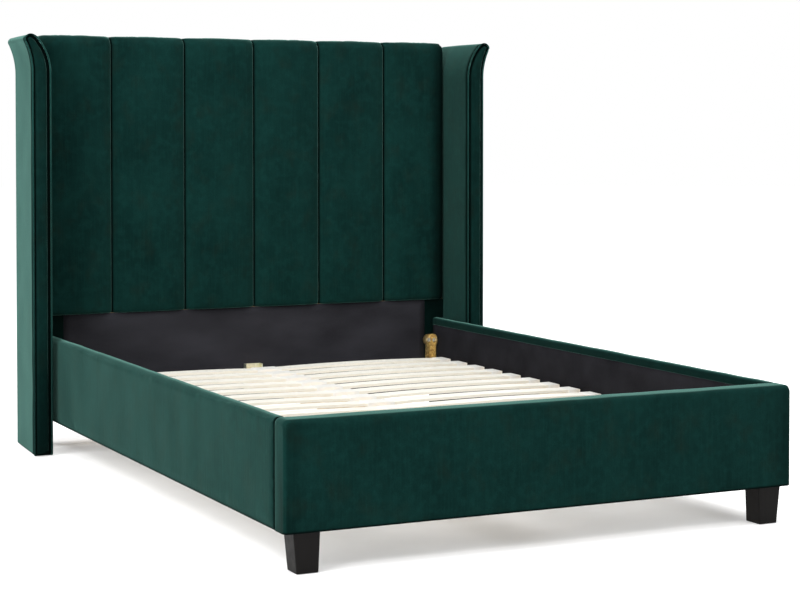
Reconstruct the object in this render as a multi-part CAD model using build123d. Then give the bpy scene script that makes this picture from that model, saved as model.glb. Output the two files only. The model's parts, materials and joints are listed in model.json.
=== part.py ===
"""Upholstered wingback bed frame with a channelled headboard and sprung slats.

Millimetres. X runs across the bed, +Y towards the headboard, +Z up.
The origin is on the floor under the middle of the bed.
"""

import os

from build123d import *

# Mattress place
mattress_width = 1400
mattress_length = 2000
side_play = 5
end_play = 5

# Side rails: a board with a pad outside and on top, and a thin skin inside and below
rail_height = 271.5
rail_board = 18
rail_pad = 9
rail_skin = 3
rail_return = 24.5
rail_outer_round = 14
rail_inner_round = 7

# Footboard: a core with a thicker pad in front
foot_core = 47
foot_front_pad = 14.5
foot_corner_round = 20

# Front legs, tapered
leg_height = 101
leg_top_width = 70
leg_top_depth = 66
leg_foot_width = 57
leg_foot_depth = 62
leg_foot_shift = 3
leg_edge_round = 4
leg_side_inset = 27
leg_front_inset = 11
leg_pad_thickness = 2
leg_pad_radius = 20
leg_bolt_radius = 4
leg_bolt_reach = 35

# Headboard
headboard_height = 1369
lower_panel_top = 440
channel_depth = 50
channel_crown = 18
channel_top_pad = 24
channel_top_crown = 3
channel_top_round = 32
channel_foot_round = 12
channel_end_round = 16
channel_seam_shares = (0.164, 0.337, 0.506, 0.670, 0.839)
front_board = 12
frame_depth = 54
frame_rail_height = 55
stile_width = 76
rear_lining = 3
lower_lining = 2
lower_board = 15

# Wings, measured at the front unless named for the rear
wing_gap = 13
wing_reach = 175
wing_splay = 11
wing_thickness = 59
wing_rear_thickness = 51
wing_inner_top = 1355
wing_outer_drop = 7
wing_flare_height = 115
wing_flare_inner = 46
wing_flare_outer = 27
wing_top_round = 8
wing_band_depth = 8
piping_radius = 3
wing_board = 18
wing_board_inset = 20
wing_board_end_inset = 12
glide_height = 4
glide_radius = 11
glide_end_inset = 55
wing_bolt_radius = 4
wing_bolt_head_radius = 7
wing_bolt_head = 6
wing_bolt_height_shares = (0.22, 0.52, 0.82)

# Slats, their ledgers, end caps and middle clips
slat_rows = 15
slat_width = 63
slat_thickness = 8
slat_rise = 6
slat_head_margin = 100
slat_foot_margin = 70
slat_seat_drop = 144.5
ledger_width = 30
ledger_height = 30
ledger_end_gap = 45
cap_length = 40
cap_gap = 13
cap_end_wall = 7
cap_floor = 2
cap_roof = 2
cap_side_wall = 2
clip_length = 88
clip_web = 10
clip_roof = 3
peg_radius = 4
peg_length = 10
screw_radius = 2.5
screw_head_radius = 5
screw_head = 3
ledger_screw_bite = 14
ledger_screws_per_side = 6

# Centre beam, its hangers and legs
beam_width = 54
beam_height = 60
beam_end_gap = 1
hanger_plate = 3
hanger_depth = 25
hanger_side_gap = 0.5
hanger_rise = 15
hanger_ear = 26
hanger_screw_bite = 20
hanger_screw_spacing = 26
beam_leg_radius = 16
beam_leg_plate = 4
beam_leg_plate_length = 70
beam_leg_offset_share = 1 / 6
leveller_radius = 25
leveller_height = 12
leveller_gap = 8
leveller_stem_radius = 5
leveller_stem_grip = 30

# Corner brackets and their bolts
bracket_plate = 3
bracket_low = 190
bracket_high = 313
bracket_frame_flange = 31
bracket_rail_flange = 30
bracket_ear_radius = 20
bracket_foot_round = 8
bolt_radius = 4
bolt_head_flats = 13
bolt_head = 5
bolt_grip = 42
bolt_low_inset = 24

# Clearance that cuts run past the faces they open
overrun = 10

# Places that follow from the sizes above
well_width = mattress_width + 2 * side_play
well_length = mattress_length + 2 * end_play
rail_inner_x = well_width / 2
rail_outer_x = rail_inner_x + rail_skin + rail_board + rail_pad
rail_bottom = leg_height
rail_top = rail_bottom + rail_height
foot_thickness = foot_front_pad + foot_core + rail_skin
headboard_depth = channel_depth + front_board + frame_depth + rear_lining
overall_length = well_length + foot_thickness + headboard_depth
rear_y = overall_length / 2
head_y = rear_y - headboard_depth
foot_y = -overall_length / 2
foot_rear_y = foot_y + foot_thickness
board_top = headboard_height - channel_top_pad
panel_half = rail_outer_x + wing_gap
panel_bottom = rail_bottom
frame_rear_y = rear_y - rear_lining
frame_front_y = frame_rear_y - frame_depth
lower_frame_y = head_y + lower_lining + lower_board
stile_inner_x = panel_half - stile_width
wing_front_y = head_y - wing_reach
wing_board_x = panel_half + wing_board_inset
flare_start = wing_inner_top - wing_flare_height
seat_z = rail_top - slat_seat_drop
slat_length_y = slat_width + 2 * cap_side_wall
cap_height = cap_floor + slat_thickness + cap_roof
cap_outer_x = rail_inner_x - cap_gap
slat_outer_x = cap_outer_x - cap_end_wall
slat_inner_x = clip_web / 2
slat_pitch = (well_length - slat_head_margin - slat_foot_margin - slat_length_y) / (slat_rows - 1)
slat_places = [
    head_y - slat_head_margin - slat_length_y / 2 - row * slat_pitch for row in range(slat_rows)
]
beam_bottom = seat_z - beam_height
beam_head_y = head_y - hanger_plate - beam_end_gap
beam_foot_y = foot_rear_y + hanger_plate + beam_end_gap


def block(x_span, y_span, z_span):
    """A box between two corners, given as spans along X, Y and Z."""
    size = [high - low for low, high in (x_span, y_span, z_span)]
    corner = Pos(x_span[0], y_span[0], z_span[0])
    return corner * Box(*size, align=(Align.MIN, Align.MIN, Align.MIN))


def rod(radius, start, end):
    """A round rod from one point to another."""
    start, end = Vector(*start), Vector(*end)
    section = Plane(origin=start, z_dir=end - start) * Circle(radius)
    return extrude(section, amount=(end - start).length)


def across(outline, y_start, y_end):
    """An outline drawn in X and Z, made solid between two places along Y."""
    face = Plane(origin=(0, y_end, 0), x_dir=(1, 0, 0), z_dir=(0, -1, 0)) * outline
    return extrude(face, amount=y_end - y_start)


def left(shape):
    """The same shape on the other side of the bed."""
    return mirror(shape, about=Plane.YZ)


def screw(start, end):
    """A countersunk screw: start is the middle of its flat head."""
    start, end = Vector(*start), Vector(*end)
    along = (end - start).normalized()
    neck = start + along * screw_head
    top = Plane(origin=start, z_dir=along) * Circle(screw_head_radius)
    bottom = Plane(origin=neck, z_dir=along) * Circle(screw_radius)
    return loft([top, bottom]) + rod(screw_radius, neck, end)


def hex_bolt(seat, along, grip):
    """A hexagon bolt: seat is the middle of the face that its head rests on."""
    seat, along = Vector(*seat), Vector(*along).normalized()
    outline = RegularPolygon(bolt_head_flats / 2, 6, major_radius=False)
    head_face = Plane(origin=seat, z_dir=-along) * outline
    return extrude(head_face, amount=bolt_head) + rod(bolt_radius, seat, seat + along * grip)


# Headboard frame and boards


def headboard_stile():
    """Post at the right side of the headboard, deeper below the channels."""
    x_span = (stile_inner_x, panel_half)
    upper = block(x_span, (frame_front_y, frame_rear_y), (lower_panel_top, board_top))
    lower = block(x_span, (lower_frame_y, frame_rear_y), (panel_bottom, lower_panel_top))
    return upper + lower - wing_bolt_set() - bracket_bolt_set()


def headboard_rail(y_front, z_low):
    """Timber across the headboard, between the stiles."""
    x_span = (-stile_inner_x, stile_inner_x)
    return block(x_span, (y_front, frame_rear_y), (z_low, z_low + frame_rail_height))


def headboard_board():
    """Board behind the channels."""
    y_span = (frame_front_y - front_board, frame_front_y)
    return block((-panel_half, panel_half), y_span, (lower_panel_top, board_top))


def headboard_lower_board():
    """Board behind the lined lower panel, with holes for bracket bolts and hanger screws."""
    y_span = (head_y + lower_lining, lower_frame_y)
    board = block((-panel_half, panel_half), y_span, (panel_bottom, lower_panel_top))
    return board - both_sides(bracket_bolt_set()) - hanger_screws()


def headboard_lower_lining():
    """Black cloth lining between the covered side strips."""
    y_span = (head_y, head_y + lower_lining)
    cloth = block((-stile_inner_x, stile_inner_x), y_span, (panel_bottom, lower_panel_top))
    return cloth - hanger_screws()


def headboard_side_strips():
    """Covered strips beside the lining, where the rails and brackets meet the headboard."""
    y_span = (head_y, head_y + lower_lining)
    strip = block((stile_inner_x, panel_half), y_span, (panel_bottom, lower_panel_top))
    strip -= bracket_bolt_set()
    return Compound([*strip.solids(), *left(strip).solids()])


def headboard_rear_lining():
    """Thin lining that closes the back of the frame."""
    return block((-panel_half, panel_half), (frame_rear_y, rear_y), (panel_bottom, board_top))


def channel_side_form():
    """Side outline of a channel pad: rolled over the top edge and under at its foot."""
    crown_y = head_y - channel_crown
    board_y = frame_front_y - front_board
    side = Plane(origin=(-panel_half - overrun, 0, 0), x_dir=(0, 1, 0), z_dir=(1, 0, 0))
    outline = Polyline(
        (crown_y, lower_panel_top), (crown_y, headboard_height), (rear_y, headboard_height),
        (rear_y, board_top), (board_y, board_top), (board_y, lower_panel_top), close=True,
    )
    face = make_face(outline)
    front = face.vertices().group_by(Axis.X)[0].sort_by(Axis.Y)
    face = fillet(front[-1], channel_top_round)
    foot = face.vertices().group_by(Axis.Y)[0].sort_by(Axis.X)[0]
    face = fillet(foot, channel_foot_round)
    return extrude(side * face, amount=2 * (panel_half + overrun))


def channel_pad(x_low, x_high):
    """One upholstered channel, crowned between its two seams."""
    plan = Polyline((x_high, head_y), (x_high, rear_y), (x_low, rear_y), (x_low, head_y))
    crown = SagittaArc((x_low, head_y), (x_high, head_y), -channel_crown)
    plan_face = make_face([*plan.edges(), crown])
    pad = Pos(0, 0, lower_panel_top) * extrude(plan_face, amount=headboard_height - lower_panel_top)
    shoulder = headboard_height - channel_top_crown
    front = Polyline((x_low, shoulder), (x_low, lower_panel_top), (x_high, lower_panel_top), (x_high, shoulder))
    arch = SagittaArc((x_low, shoulder), (x_high, shoulder), channel_top_crown)
    front_face = make_face([*front.edges(), arch])
    if x_high > panel_half - channel_end_round:
        outer_corner = front_face.vertices().group_by(Axis.X)[-1].sort_by(Axis.Y)[-1]
        front_face = fillet(outer_corner, channel_end_round)
    front_form = across(front_face, head_y - channel_crown - overrun, rear_y + overrun)
    return channel_side_form() & pad & front_form


def channel_pads():
    """All channels from left to right; those left of the middle are built as their mirror images."""
    seams = [(2 * share - 1) * panel_half for share in (0, *channel_seam_shares, 1)]
    for x_low, x_high in zip(seams, seams[1:]):
        if x_low + x_high < 0:
            yield left(channel_pad(-x_high, -x_low))
        else:
            yield channel_pad(x_low, x_high)


# Wings


def wing_inner_x(y):
    """Place of a wing's inner face: straight beside the headboard, splayed in front of it."""
    return panel_half + wing_splay * max(0, head_y - y) / wing_reach


def wing_outer_x(y):
    """Place of a wing's outer face, in line from the rear edge to the front."""
    rear_x = panel_half + wing_rear_thickness
    front_x = panel_half + wing_splay + wing_thickness
    return rear_x + (front_x - rear_x) * (rear_y - y) / (rear_y - wing_front_y)


def wing_outline(y, inset):
    """Section of a wing across the bed, its top flared outward, drawn in X and Z."""
    inner, outer, foot = wing_inner_x(y), wing_outer_x(y), glide_height - inset
    inner_top = (inner + wing_flare_inner, wing_inner_top)
    outer_top = (outer + wing_flare_outer, wing_inner_top - wing_outer_drop)
    inner_flare = TangentArc((inner, flare_start), inner_top, tangent=(0, 1))
    outer_flare = TangentArc((outer, flare_start), outer_top, tangent=(0, 1))
    crest = TangentArc(inner_top, outer_top, tangent=inner_flare % 1)
    sides = Polyline((inner, flare_start), (inner, foot), (outer, foot), (outer, flare_start))
    face = make_face([*sides.edges(), inner_flare, crest, outer_flare])
    shoulder = face.vertices().sort_by(Axis.X)[-1]
    face = fillet(shoulder, wing_top_round)
    if inset:
        face = offset(face, -inset)
    return face


def wing_board_solid():
    """Board inside a wing, from its foot to where the flare starts."""
    y_span = (wing_front_y + wing_band_depth + wing_board_end_inset, rear_y - wing_board_end_inset)
    x_span = (wing_board_x, wing_board_x + wing_board)
    return block(x_span, y_span, (glide_height, flare_start)) - wing_bolt_set()


def wing_cover():
    """Padded cover of a wing, hollow for its board."""
    places = (wing_front_y + wing_band_depth, head_y, rear_y)
    upright = [Plane(origin=(0, y, 0), x_dir=(1, 0, 0), z_dir=(0, -1, 0)) for y in places]
    sections = [plane * wing_outline(y, 0) for plane, y in zip(upright, places)]
    form = loft(sections, ruled=True)
    board = wing_board_solid()
    return form - board - wing_bolt_set()


def wing_front_band():
    """Strip of cover on a wing's front edge, inside the piping."""
    outline = wing_outline(wing_front_y, 2 * piping_radius)
    return across(outline, wing_front_y, wing_front_y + wing_band_depth)


def wing_piping():
    """Piping cord round a wing's front band, open at the foot."""
    cord_y = wing_front_y + wing_band_depth - piping_radius
    upright = Plane(origin=(0, cord_y, 0), x_dir=(1, 0, 0), z_dir=(0, -1, 0))
    line = upright * wing_outline(wing_front_y, piping_radius)
    edges = line.edges().sort_by(Axis.Z)[1:]
    path = Wire(edges)
    section = Plane(origin=path @ 0, z_dir=path % 0) * Circle(piping_radius)
    return sweep(section, path=path)


def wing_glides():
    """Two round glides under a wing's board."""
    x = wing_board_x + wing_board / 2
    places = (wing_front_y + glide_end_inset, rear_y - glide_end_inset)
    glides = [rod(glide_radius, (x, y, 0), (x, y, glide_height)) for y in places]
    return Compound([solid for glide in glides for solid in glide.solids()])


def wing_bolt_set():
    """Bolts from inside a stile into the wing board beside it."""
    y = (frame_front_y + frame_rear_y) / 2
    bolts = []
    for share in wing_bolt_height_shares:
        z = share * flare_start
        head = rod(wing_bolt_head_radius, (stile_inner_x - wing_bolt_head, y, z), (stile_inner_x, y, z))
        bolts.append(head + rod(wing_bolt_radius, (stile_inner_x, y, z), (wing_board_x + wing_board, y, z)))
    return bolts


# Side rails


def rail_form():
    """Outer shape of a side rail, rounded along its two top edges."""
    form = block((rail_inner_x, rail_outer_x), (foot_rear_y, head_y), (rail_bottom, rail_top))
    top_edges = form.edges().filter_by(Axis.Y).group_by(Axis.Z)[-1].sort_by(Axis.X)
    form = fillet(top_edges[0], rail_inner_round)
    top_edges = form.edges().filter_by(Axis.Y).sort_by(Axis.X)
    outer = [edge for edge in top_edges.group_by(Axis.X)[-1] if edge.center().Z > rail_top - rail_return]
    return fillet(outer, rail_outer_round)


def side_rail_board():
    """Board inside a side rail."""
    x_low = rail_inner_x + rail_skin
    z_span = (rail_bottom + rail_skin, rail_top - rail_pad)
    board = block((x_low, x_low + rail_board), (foot_rear_y, head_y), z_span)
    return board - bracket_bolt_set() - foot_bolt_set() - ledger_screw_set()


def side_rail_lining():
    """Black lining on a side rail's inner face, below the velvet return."""
    x_span = (rail_inner_x, rail_inner_x + rail_skin)
    lining = block(x_span, (foot_rear_y, head_y), (rail_bottom, rail_top - rail_return))
    return lining - bracket_bolt_set() - foot_bolt_set() - ledger_screw_set()


def side_rail_cover():
    """Padded cover over a side rail's outer face, top, inner return and underside."""
    x_low = rail_inner_x + rail_skin
    board = block((x_low, x_low + rail_board), (foot_rear_y, head_y), (rail_bottom + rail_skin, rail_top - rail_pad))
    lining = block((rail_inner_x, x_low), (foot_rear_y, head_y), (rail_bottom, rail_top - rail_return))
    return rail_form() - board - lining


def slat_ledger():
    """Timber batten on a side rail that carries the slat caps."""
    y_span = (foot_rear_y + ledger_end_gap, head_y - ledger_end_gap)
    batten = block((rail_inner_x - ledger_width, rail_inner_x), y_span, (seat_z - ledger_height, seat_z))
    return batten - ledger_screw_set() - cap_pegs()


def ledger_screw_set():
    """Screws through a ledger and the lining into the rail board."""
    start_y, end_y = foot_rear_y + 2 * ledger_end_gap, head_y - 2 * ledger_end_gap
    step = (end_y - start_y) / (ledger_screws_per_side - 1)
    z = seat_z - ledger_height / 2
    head_x = rail_inner_x - ledger_width
    tip_x = rail_inner_x + rail_skin + ledger_screw_bite
    places = [start_y + index * step for index in range(ledger_screws_per_side)]
    return [screw((head_x, y, z), (tip_x, y, z)) for y in places]


# Footboard and front legs


def foot_core_solid():
    """Timber core of the footboard, before its holes."""
    half = rail_outer_x - foot_front_pad
    y_low = foot_y + foot_front_pad
    return block((-half, half), (y_low, y_low + foot_core), (rail_bottom + rail_skin, rail_top - rail_pad))


def footboard_core():
    """Core of the footboard with its bolt and screw holes."""
    core = foot_core_solid() - both_sides(foot_bolt_set()) - hanger_screws()
    return core - leg_bolt_set()


def footboard_lining():
    """Black lining on the footboard's inner face, between the side rails."""
    y_span = (foot_rear_y - rail_skin, foot_rear_y)
    lining = block((-rail_inner_x, rail_inner_x), y_span, (rail_bottom, rail_top - rail_return))
    return lining - both_sides(foot_bolt_set()) - hanger_screws()


def footboard_cover():
    """Padded cover of the footboard, rounded at its corners and along the top."""
    form = block((-rail_outer_x, rail_outer_x), (foot_y, foot_rear_y), (rail_bottom, rail_top))
    front_corners = form.edges().filter_by(Axis.Z).group_by(Axis.Y)[0]
    form = fillet(front_corners, foot_corner_round)
    top_front = form.edges().filter_by(Axis.X).group_by(Axis.Z)[-1].sort_by(Axis.Y)[0]
    form = fillet(top_front, rail_outer_round)
    top_rear = form.edges().filter_by(Axis.X).group_by(Axis.Z)[-1].sort_by(Axis.Y)[-1]
    form = fillet(top_rear, rail_inner_round)
    y_span = (foot_rear_y - rail_skin, foot_rear_y)
    lining = block((-rail_inner_x, rail_inner_x), y_span, (rail_bottom, rail_top - rail_return))
    form = form - foot_core_solid() - lining
    return form - both_sides(foot_bolt_set()) - leg_bolt_set()


def leg_centre():
    """Middle of the right front leg's top."""
    x = rail_outer_x - leg_side_inset - leg_top_width / 2
    y = foot_y + leg_front_inset + leg_top_depth / 2
    return x, y


def front_leg():
    """Tapered square leg with softened edges, its foot nearer the bed's middle than its top."""
    x, y = leg_centre()
    top = Pos(x, y, leg_height) * RectangleRounded(leg_top_width, leg_top_depth, leg_edge_round)
    foot = Pos(x - leg_foot_shift, y, leg_pad_thickness)
    foot = foot * RectangleRounded(leg_foot_width, leg_foot_depth, leg_edge_round)
    return loft([foot, top]) - leg_bolt_set()


def leg_bolt_set():
    """Hanger bolts that join both legs to the footboard core."""
    x, y = leg_centre()
    z_span = (leg_height - leg_bolt_reach, leg_height + rail_skin + leg_bolt_reach)
    return [rod(leg_bolt_radius, (side * x, y, z_span[0]), (side * x, y, z_span[1])) for side in (1, -1)]


def front_leg_pads():
    """Thin pads under both legs."""
    x, y = leg_centre()
    x -= leg_foot_shift
    pads = [rod(leg_pad_radius, (side * x, y, 0), (side * x, y, leg_pad_thickness)) for side in (1, -1)]
    return Compound([solid for pad in pads for solid in pad.solids()])


# Slats


def slat_solid():
    """One bent slat on the right side, with its middle at Y zero."""
    low = seat_z + cap_floor
    high = low + slat_thickness
    middle_x = (slat_inner_x + slat_outer_x) / 2
    under = ThreePointArc((slat_inner_x, low), (middle_x, low + slat_rise), (slat_outer_x, low))
    over = ThreePointArc((slat_inner_x, high), (middle_x, high + slat_rise), (slat_outer_x, high))
    ends = [Line(under @ 0, over @ 0), Line(under @ 1, over @ 1)]
    return across(make_face([under, over, *ends]), -slat_width / 2, slat_width / 2)


def cap_solid():
    """One plastic end cap on the right ledger, with its peg, middle at Y zero."""
    x_span = (cap_outer_x - cap_length, cap_outer_x)
    body = block(x_span, (-slat_length_y / 2, slat_length_y / 2), (seat_z, seat_z + cap_height))
    top_edges = body.edges().filter_by(Axis.Y).group_by(Axis.Z)[-1]
    body = chamfer(top_edges, cap_roof / 2)
    return body + cap_peg(0) - slat_solid()


def cap_peg_x():
    """Place of a cap's peg across the ledger."""
    return cap_outer_x - cap_end_wall


def cap_peg(y):
    """Peg under a cap."""
    return rod(peg_radius, (cap_peg_x(), y, seat_z - peg_length), (cap_peg_x(), y, seat_z))


def cap_pegs():
    """All pegs along the right ledger."""
    return [cap_peg(y) for y in slat_places]


def clip_solid():
    """One double clip on the centre beam, with its peg, middle at Y zero."""
    half = clip_length / 2
    height = cap_floor + slat_thickness + clip_roof
    body = block((-half, half), (-slat_length_y / 2, slat_length_y / 2), (seat_z, seat_z + height))
    top_edges = body.edges().filter_by(Axis.Y).group_by(Axis.Z)[-1]
    body = chamfer(top_edges, clip_roof / 2)
    slat = slat_solid()
    return body + clip_peg(0) - slat - left(slat)


def clip_peg(y):
    """Peg under a clip."""
    return rod(peg_radius, (0, y, seat_z - peg_length), (0, y, seat_z))


def in_rows(shape):
    """The shape repeated at each slat row."""
    solid = shape.solids()[0]
    return Compound([solid.moved(Location((0, y, 0))) for y in slat_places])


# Centre beam


def centre_beam():
    """Timber beam under the middle of the slats."""
    half = beam_width / 2
    beam = block((-half, half), (beam_foot_y, beam_head_y), (beam_bottom, seat_z))
    return beam - [clip_peg(y) for y in slat_places]


def beam_hanger(wall_y, direction):
    """Cradle on the wall at wall_y; direction is 1 where it opens towards +Y."""
    inner = beam_width / 2 + hanger_side_gap
    outer = inner + hanger_plate
    shelf_z = beam_bottom - hanger_plate
    high = seat_z + hanger_rise
    plate_y = sorted((wall_y, wall_y + direction * hanger_plate))
    body_y = sorted((wall_y, wall_y + direction * hanger_depth))
    body = block((-outer, outer), body_y, (shelf_z, high))
    hollow_y = sorted((wall_y + direction * hanger_plate, wall_y + direction * (hanger_depth + overrun)))
    body -= block((-inner, inner), hollow_y, (beam_bottom, high + overrun))
    ear = block((-outer, outer), plate_y, (shelf_z - hanger_ear, shelf_z))
    return body + ear - hanger_screws()


def hanger_screws():
    """Screws through both hangers' ears."""
    z = beam_bottom - hanger_plate - hanger_ear / 2
    walls = ((head_y, -1), (foot_rear_y, 1))
    return [
        screw(
            (side * hanger_screw_spacing / 2, wall_y + direction * hanger_plate, z),
            (side * hanger_screw_spacing / 2, wall_y - direction * hanger_screw_bite, z),
        )
        for wall_y, direction in walls for side in (1, -1)
    ]


def beam_leg_y(side):
    """Place of a support leg along the beam: side is 1 towards the head, -1 towards the foot."""
    middle = (head_y + foot_rear_y) / 2
    return middle + side * beam_leg_offset_share * well_length


def centre_leg(side):
    """Support leg with a fixing plate under the beam and a bore for its foot's stem."""
    y = beam_leg_y(side)
    low = leveller_height + leveller_gap
    plate_half = beam_leg_plate_length / 2
    plate = block(
        (-beam_width / 2, beam_width / 2), (y - plate_half, y + plate_half), (beam_bottom - beam_leg_plate, beam_bottom)
    )
    post = rod(beam_leg_radius, (0, y, low), (0, y, beam_bottom - beam_leg_plate))
    return plate + post - leveller_stem(y)


def leveller_stem(y):
    """Threaded stem of an adjustable foot."""
    top = leveller_height + leveller_gap + leveller_stem_grip
    return rod(leveller_stem_radius, (0, y, leveller_height), (0, y, top))


def leveller(side):
    """Adjustable foot of a support leg."""
    y = beam_leg_y(side)
    return rod(leveller_radius, (0, y, 0), (0, y, leveller_height)) + leveller_stem(y)


# Corner brackets


def flange_outline(width):
    """Flange of a bracket with a round ear at its top, from the bend at X zero outward."""
    plate = Pos(width / 2, (bracket_low + bracket_high) / 2) * Rectangle(width, bracket_high - bracket_low)
    free_corners = plate.vertices().group_by(Axis.X)[-1].sort_by(Axis.Y)
    plate = fillet(free_corners[0], bracket_foot_round)
    top_corner = plate.vertices().group_by(Axis.X)[-1].sort_by(Axis.Y)[-1]
    plate = fillet(top_corner, bracket_foot_round)
    ear = Pos(bracket_ear_radius, bracket_high - bracket_ear_radius) * Circle(bracket_ear_radius)
    return plate + ear


def corner_bracket():
    """Right head bracket: one flange on the headboard, one on the rail's inner face."""
    frame_side = Plane(origin=(rail_inner_x, head_y, 0), x_dir=(-1, 0, 0), z_dir=(0, 1, 0))
    frame_flange = extrude(frame_side * flange_outline(bracket_frame_flange), amount=-bracket_plate)
    rail_side = Plane(origin=(rail_inner_x, head_y, 0), x_dir=(0, -1, 0), z_dir=(-1, 0, 0))
    rail_flange = extrude(rail_side * flange_outline(bracket_rail_flange), amount=bracket_plate)
    return frame_flange + rail_flange - bracket_bolt_set()


def bolt_heights():
    """Heights of the two bolts in each flange."""
    return bracket_high - bracket_ear_radius, bracket_low + bolt_low_inset


def bracket_bolt_set():
    """Bolts of the right head bracket: two into the stile, two into the rail board."""
    frame_x = rail_inner_x - bracket_ear_radius
    rail_y = head_y - bracket_ear_radius
    rail_grip = bracket_plate + rail_skin + rail_board
    bolts = []
    for z in bolt_heights():
        bolts.append(hex_bolt((frame_x, head_y - bracket_plate, z), (0, 1, 0), bolt_grip))
        bolts.append(hex_bolt((rail_inner_x - bracket_plate, rail_y, z), (1, 0, 0), rail_grip))
    return bolts


def to_foot(shape):
    """The same piece at the foot end: turned over the middle of the well."""
    middle = Plane(origin=(0, (head_y + foot_rear_y) / 2, 0), z_dir=(0, 1, 0))
    return mirror(shape, about=middle)


def foot_bolt_set():
    """Bolts of the right foot bracket."""
    return [to_foot(bolt) for bolt in bracket_bolt_set()]


def both_sides(shapes):
    """A list of shapes and their mirror images."""
    return [*shapes, *[left(shape) for shape in shapes]]


def grouped(shapes):
    """Separate solids that share one node."""
    return Compound([solid for shape in shapes for solid in shape.solids()])


def side_pair(name, shape):
    """A right-hand piece and its left-hand mirror image, as two nodes."""
    return {f"{name}_right": shape, f"{name}_left": left(shape)}


def all_parts():
    """Every node's name and shape."""
    parts = {}
    parts |= side_pair("headboard_stile", headboard_stile())
    parts["headboard_top_rail"] = headboard_rail(frame_front_y, board_top - frame_rail_height)
    parts["headboard_middle_rail"] = headboard_rail(lower_frame_y, lower_panel_top - frame_rail_height)
    parts["headboard_bottom_rail"] = headboard_rail(lower_frame_y, panel_bottom) - hanger_screws()
    parts["headboard_board"] = headboard_board()
    parts["headboard_lower_board"] = headboard_lower_board()
    parts["headboard_lower_lining"] = headboard_lower_lining()
    parts["headboard_side_strips"] = headboard_side_strips()
    parts["headboard_rear_lining"] = headboard_rear_lining()
    for index, pad in enumerate(channel_pads(), start=1):
        parts[f"headboard_channel_{index}"] = pad

    parts |= side_pair("wing_board", wing_board_solid())
    parts |= side_pair("wing_cover", wing_cover())
    parts |= side_pair("wing_front_band", wing_front_band())
    parts |= side_pair("wing_piping", wing_piping())
    parts |= side_pair("wing_glides", wing_glides())
    parts["wing_bolts"] = grouped(both_sides(wing_bolt_set()))

    parts |= side_pair("side_rail_board", side_rail_board())
    parts |= side_pair("side_rail_cover", side_rail_cover())
    parts |= side_pair("side_rail_lining", side_rail_lining())
    parts |= side_pair("slat_ledger", slat_ledger())

    parts["footboard_core"] = footboard_core()
    parts["footboard_cover"] = footboard_cover()
    parts["footboard_lining"] = footboard_lining()
    parts |= side_pair("front_leg", front_leg())
    parts["leg_bolts"] = grouped(leg_bolt_set())
    parts["front_leg_pads"] = front_leg_pads()

    parts |= side_pair("slats", in_rows(slat_solid()))
    parts |= side_pair("slat_caps", in_rows(cap_solid()))
    parts["slat_clips"] = in_rows(clip_solid())

    parts["centre_beam"] = centre_beam()
    parts["beam_hanger_head"] = beam_hanger(head_y, -1)
    parts["beam_hanger_foot"] = beam_hanger(foot_rear_y, 1)
    for end, side in (("head", 1), ("foot", -1)):
        parts[f"centre_leg_{end}"] = centre_leg(side)
        parts[f"leveller_{end}"] = leveller(side)

    bracket = corner_bracket()
    parts |= side_pair("head_bracket", bracket)
    parts |= side_pair("foot_bracket", to_foot(bracket))
    parts["bracket_bolts"] = grouped(both_sides([*bracket_bolt_set(), *foot_bolt_set()]))
    parts["wood_screws"] = grouped([*both_sides(ledger_screw_set()), *hanger_screws()])
    return parts


os.makedirs("parts", exist_ok=True)
for node, shape in all_parts().items():
    export_step(shape, f"parts/{node}.step")
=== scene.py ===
"""Dresses a wingback bed frame: velvet padding over the headboard, wings, rails and footboard, black linings,
and the finishes of its slats, timber, brackets and legs."""

import json
import math

import bmesh
import bpy
from bpy.props import FloatProperty, FloatVectorProperty, PointerProperty
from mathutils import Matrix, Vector, noise

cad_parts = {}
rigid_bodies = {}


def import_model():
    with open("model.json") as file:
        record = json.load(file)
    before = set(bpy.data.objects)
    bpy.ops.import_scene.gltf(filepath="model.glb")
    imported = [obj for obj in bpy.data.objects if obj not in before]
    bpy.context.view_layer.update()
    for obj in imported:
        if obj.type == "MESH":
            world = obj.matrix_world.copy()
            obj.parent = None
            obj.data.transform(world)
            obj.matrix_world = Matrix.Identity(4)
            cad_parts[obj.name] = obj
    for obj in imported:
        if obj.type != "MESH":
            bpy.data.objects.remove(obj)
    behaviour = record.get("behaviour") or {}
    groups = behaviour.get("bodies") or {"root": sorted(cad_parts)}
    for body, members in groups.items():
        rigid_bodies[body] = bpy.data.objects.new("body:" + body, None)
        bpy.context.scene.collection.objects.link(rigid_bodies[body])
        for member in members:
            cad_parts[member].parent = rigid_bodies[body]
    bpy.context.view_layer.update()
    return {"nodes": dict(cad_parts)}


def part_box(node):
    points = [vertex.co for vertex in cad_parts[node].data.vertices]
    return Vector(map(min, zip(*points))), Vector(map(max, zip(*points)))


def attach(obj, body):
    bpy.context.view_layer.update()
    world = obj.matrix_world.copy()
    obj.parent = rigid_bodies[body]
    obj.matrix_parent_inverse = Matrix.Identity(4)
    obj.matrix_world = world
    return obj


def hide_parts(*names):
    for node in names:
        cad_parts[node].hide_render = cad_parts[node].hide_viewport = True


bl_info = {
    "name": "Wingback bed upholstery",
    "version": (1, 0, 0),
    "blender": (4, 5, 0),
    "location": "3D View > Sidebar > Bed",
    "description": "Upholsters a wingback bed frame and finishes its timber, metal and plastic",
    "category": "Object",
}

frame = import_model()

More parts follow.
